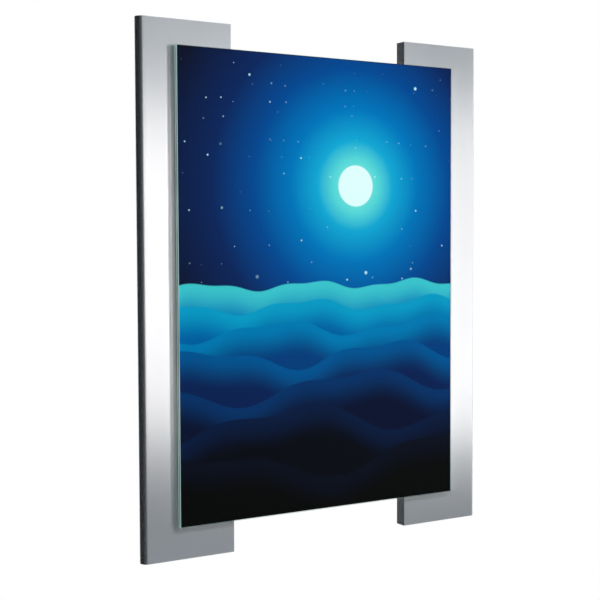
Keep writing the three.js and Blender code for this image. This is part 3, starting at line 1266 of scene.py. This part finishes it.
@dataclass
class GrubScrews(ScrewSet):
    """One column of grub screws on each rail, which clamp the hangers against the rear lips."""

    diameter: float = 4.0 * MM
    socket_depth: float = 2.0 * MM
    thread_pitch: float = 0.7 * MM
    thread_depth: float = 0.35 * MM
    end_chamfer: float = 0.35 * MM
    column: GrubColumn = GrubColumn.INNER

    def rings(self, low: Vector, high: Vector) -> list[Ring]:
        """Rings of one grub screw, whose tip points to the front.

        Args:
            low: lowest corner of the screw's box.
            high: highest corner of it.

        Returns:
            Rings as (radius, place along Y).
        """
        tip, rear, radius = low.y, high.y, self.diameter / 2.0
        start = rear - self.end_chamfer
        return [
            (self.hexagon, rear - self.socket_depth),
            (self.hexagon, rear),
            (radius - self.end_chamfer, rear),
            (radius, start),
            *self.threads(start, tip + 2.0 * self.end_chamfer),
            (radius - 2.0 * self.end_chamfer, tip),
        ]

    def build(self) -> bpy.types.Object:
        """Sets the column's grub screws out.

        Returns:
            The grub screws, as one piece.
        """
        nodes = [
            f"{side.value}_{level.value}_hanger_{self.column.value}_grub_screw"
            for side in Side for level in HangerLevel
        ]
        return self.set_out(f"{self.column.value}_grub_screws", "black_grub_screw", nodes)


def direction(azimuth: float, elevation: float = 0.0) -> Vector:
    """Points away from the object. Azimuth 0 is straight in front, and 90 is on the right."""
    turn, rise = math.radians(azimuth), math.radians(elevation)
    return Vector((math.sin(turn) * math.cos(rise), -math.cos(turn) * math.cos(rise), math.sin(rise)))


@dataclass(frozen=True)
class Softbox:
    """A flat lamp that faces the object. A square metre of it takes so many watts for a radiance of 1."""

    name: str
    azimuth: float
    elevation: float
    distance: float
    width: float
    height: float
    radiance: float
    lift: float = 0.0
    tint: Colour = WHITE
    seen_in_gloss: bool = True
    watts_for_radiance: float = 4.0

    def build(self) -> None:
        """Hangs the lamp."""
        lamp = bpy.data.lights.new(self.name, "AREA")
        lamp.shape = "RECTANGLE"
        lamp.size, lamp.size_y = self.width, self.height
        lamp.energy = self.watts_for_radiance * self.width * self.height * self.radiance
        lamp.color = self.tint
        hung = link_object(self.name, lamp)
        away = direction(self.azimuth, self.elevation)
        hung.location = away * self.distance + Vector((0.0, 0.0, self.lift))
        hung.rotation_euler = (-away).to_track_quat("-Z", "Y").to_euler()
        hung.visible_camera = False
        hung.visible_glossy = self.seen_in_gloss


@dataclass(frozen=True)
class PaleFloor(Finish):
    """A pale floor that is nearly white where the background shows, with the object's shadow on it."""

    name: str = "pale_floor"
    colour: Colour = (0.86, 0.86, 0.86)
    white_share: float = 0.85

    def shader(self, graph: NodeGraph) -> Socket:
        """Makes the shader.

        Args:
            graph: the material's graph.

        Returns:
            The shader's socket.
        """
        pale = graph.out("ShaderNodeBsdfDiffuse", {"Color": self.colour})
        white = graph.out("ShaderNodeEmission", {"Color": WHITE, "Strength": 1.0})
        share = graph.math("MULTIPLY", graph.background_seen(), self.white_share)
        return graph.mix_shader(share, pale, white)


@dataclass(frozen=True)
class DarkDrape(Finish):
    """Dark cloth."""

    name: str = "dark_drape"
    colour: Colour = DARK_CLOTH

    def shader(self, graph: NodeGraph) -> Socket:
        """Makes the shader in the material's graph."""
        return graph.out("ShaderNodeBsdfDiffuse", {"Color": self.colour})


@dataclass(frozen=True)
class ScrimNet(Finish):
    """A dark net that is thinner towards its foot."""

    name: str = "scrim_net"
    colour: Colour = DARK_CLOTH
    thin_height: float = -0.40
    thin_share: float = 0.275
    dense_height: float = 0.25
    dense_share: float = 0.55

    def shader(self, graph: NodeGraph) -> Socket:
        """Makes the shader.

        Args:
            graph: the material's graph.

        Returns:
            The shader's socket.
        """
        place = graph.out("ShaderNodeNewGeometry", output="Position")
        height = graph.out("ShaderNodeSeparateXYZ", {0: place}, "Z")
        share = graph.remap(height, self.thin_height, self.dense_height, self.thin_share, self.dense_share)
        holes = graph.out("ShaderNodeBsdfTransparent")
        return graph.mix_shader(share, holes, graph.out("ShaderNodeBsdfDiffuse", {"Color": self.colour}))


def stage_surface(name: str, shape: bmesh.types.BMesh, finish: Finish, seen: bool) -> None:
    """Sets up a surface of the studio.

    Args:
        name: its name.
        shape: its shape, which is used up.
        finish: its finish.
        seen: whether the camera sees it, and not only its effect on the light.
    """
    surface = link_shape(name, shape)
    surface.data.materials.append(finish.build())
    surface.visible_camera = seen


@dataclass(frozen=True)
class Floor:
    """The round floor under the object."""

    reach: float = 3.0
    sides: int = 64

    def build(self) -> None:
        """Lays the floor."""
        shape = bmesh.new()
        bmesh.ops.create_circle(shape, cap_ends=True, segments=self.sides, radius=self.reach)
        bmesh.ops.translate(shape, verts=shape.verts, vec=(0.0, 0.0, FLOOR_HEIGHT))
        stage_surface("studio_floor", shape, PaleFloor(), seen=True)


@dataclass(frozen=True)
class Drape:
    """A drape behind the lamps and on the left, from one azimuth to another, that the rails mirror."""

    reach: float = 3.4
    top: float = 2.0
    start: float = -165.0
    end: float = 80.0
    steps: int = 48

    def build(self) -> None:
        """Hangs the drape."""
        shape = bmesh.new()
        columns = []
        for step in range(self.steps + 1):
            place = direction(self.start + (self.end - self.start) * step / self.steps) * self.reach
            columns.append([shape.verts.new((place.x, place.y, z)) for z in (FLOOR_HEIGHT, self.top)])
        for near, far in zip(columns, columns[1:]):
            shape.faces.new((near[0], far[0], far[1], near[1]))
        stage_surface("studio_drape", shape, DarkDrape(), seen=False)


@dataclass(frozen=True)
class Scrim:
    """A standing net that dims the right softbox for the right rail alone.

    Its sides are measured to the right of the line from the object to the softbox.
    """

    azimuth: float = 48.6
    distance: float = 0.8
    inner_side: float = 0.0025
    outer_side: float = 0.135
    bottom: float = -0.46
    top: float = 0.46

    def build(self) -> None:
        """Stands the scrim up."""
        middle, across = direction(self.azimuth) * self.distance, direction(self.azimuth + 90.0)
        inner, outer = middle + across * self.inner_side, middle + across * self.outer_side
        low, high = Vector((0.0, 0.0, self.bottom)), Vector((0.0, 0.0, self.top))
        corners = (inner + low, outer + low, outer + high, inner + high)
        shape = bmesh.new()
        shape.faces.new([shape.verts.new(corner) for corner in corners])
        stage_surface("studio_scrim", shape, ScrimNet(), seen=False)


@dataclass
class Studio:
    """Camera, soft lamps, pale floor and white surroundings."""

    camera_place: tuple = (-0.5930, -0.9653, 0.0430)
    camera_turn: float = 30.83
    camera_dip: float = 2.75
    camera_roll: float = -0.233
    lens: float = 72.14
    sensor: float = 36.0
    ambient: float = 0.04
    surfaces: tuple = (Floor(), Drape(), Scrim())
    # Each lamp's azimuth, elevation, distance, width, height and radiance.
    softboxes: tuple = (
        Softbox("key", 38.0, 32.0, 2.6, 0.50, 0.50, 72.0, tint=COOL_WHITE, seen_in_gloss=False),
        Softbox("right softbox", 48.6, 0.0, 2.5, 0.36, 1.01, 17.2, lift=-0.055, tint=WARM_WHITE),
        Softbox("right softbox, top", 48.6, 0.0, 2.5, 0.36, 0.55, 5.0, lift=0.725),
        Softbox("low softbox", 40.0, 0.0, 2.5, 0.90, 0.40, 0.6, lift=-1.10, tint=COOL_WHITE),
        Softbox("front softbox", 11.0, 0.0, 2.5, 0.90, 0.67, 1.0, lift=-0.235, tint=AMBER_WHITE),
        Softbox("front softbox, upper", 11.0, 0.0, 2.5, 0.90, 0.35, 1.25, lift=0.275, tint=AMBER_WHITE),
        Softbox("overhead", 0.0, 80.0, 2.2, 1.6, 1.6, 0.3),
        Softbox("rear right softbox", 140.0, 8.0, 2.5, 1.7, 1.4, 0.6),
        Softbox("rear key", 155.0, 20.0, 2.6, 1.2, 1.2, 8.5, seen_in_gloss=False),
    )

    def _camera(self) -> None:
        """Sets the camera at the photograph's viewing angle."""
        turn, dip, roll = (math.radians(a) for a in (self.camera_turn, self.camera_dip, self.camera_roll))
        ahead = Vector((math.sin(turn) * math.cos(dip), math.cos(turn) * math.cos(dip), -math.sin(dip)))
        level = Vector((math.cos(turn), -math.sin(turn), 0.0))
        upright = level.cross(ahead)
        right = level * math.cos(roll) + upright * math.sin(roll)
        up = upright * math.cos(roll) - level * math.sin(roll)
        data = bpy.data.cameras.new("camera")
        data.lens, data.sensor_width = self.lens, self.sensor
        camera = link_object("camera", data)
        axes = Matrix((right, up, -ahead)).transposed()
        camera.matrix_world = Matrix.Translation(self.camera_place) @ axes.to_4x4()
        bpy.context.scene.camera = camera

    def _surroundings(self) -> None:
        """White background, with a soft fill for all other light."""
        world = bpy.data.worlds.new("white studio")
        world.use_nodes = True
        graph = NodeGraph(world.node_tree)
        fill = graph.out("ShaderNodeBackground", {"Color": WHITE, "Strength": self.ambient})
        white = graph.out("ShaderNodeBackground", {"Color": WHITE, "Strength": 1.0})
        shown = graph.mix_shader(graph.background_seen(), fill, white)
        graph.add("ShaderNodeOutputWorld", {"Surface": shown})
        bpy.context.scene.world = world

    def build(self) -> None:
        """Sets the studio up."""
        bpy.context.scene.view_settings.view_transform = "Standard"
        self._camera()
        self._surroundings()
        for fitting in (*self.surfaces, *self.softboxes):
            fitting.build()
        LOG.info("studio with %d lamps", len(self.softboxes))


def main() -> None:
    """Builds the studio and every piece, in order."""
    logging.basicConfig(level=logging.INFO, format="%(name)s: %(message)s")
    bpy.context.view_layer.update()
    Studio().build()

    extrusion, grid = extrusion_recipe(), fastener_grid_recipe()
    anodised, plastic, zinc = SatinAnodised().build(), MOULDED_PLASTIC.build(), ZINC_PLATE.build()
    face, strip, blackened = ClearFace().build(), ClearStrip().build(), BLACKENED.build()

    pieces: list[Union[Rail, DressedSolid, PanelScrews, GrubScrews]] = []
    for side in Side:
        pieces.append(Rail(side, extrusion, anodised))
        pieces.extend(EndCap(f"{side.value}_{end.value}_end_cap", (plastic,)) for end in RailEnd)
        pieces.extend(Hanger(f"{side.value}_{level.value}_hanger", (zinc,)) for level in HangerLevel)
    pieces.append(ClearSheet("back_sheet", (face, BACK_EDGE.build())))
    pieces.append(ClearSheet("front_sheet", (face, FRONT_EDGE.build())))
    pieces.extend(SpacerStrip(f"{edge.value}_spacer_strip", (strip,)) for edge in PocketEdge)
    low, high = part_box(PRINT_NODE)
    picture = SeaPrint(width=high.x - low.x, height=high.z - low.z, bottom=low.z)
    pieces.append(PosterPrint(PRINT_NODE, (WHITE_PAPER.build(), picture.build())))
    pieces.append(PanelScrews(grid, STAINLESS.build()))
    pieces.extend(GrubScrews(grid, blackened, column=column) for column in GrubColumn)
    for piece in pieces:
        LOG.info("built %s", piece.build().name)


if __name__ == "__main__":
    main()
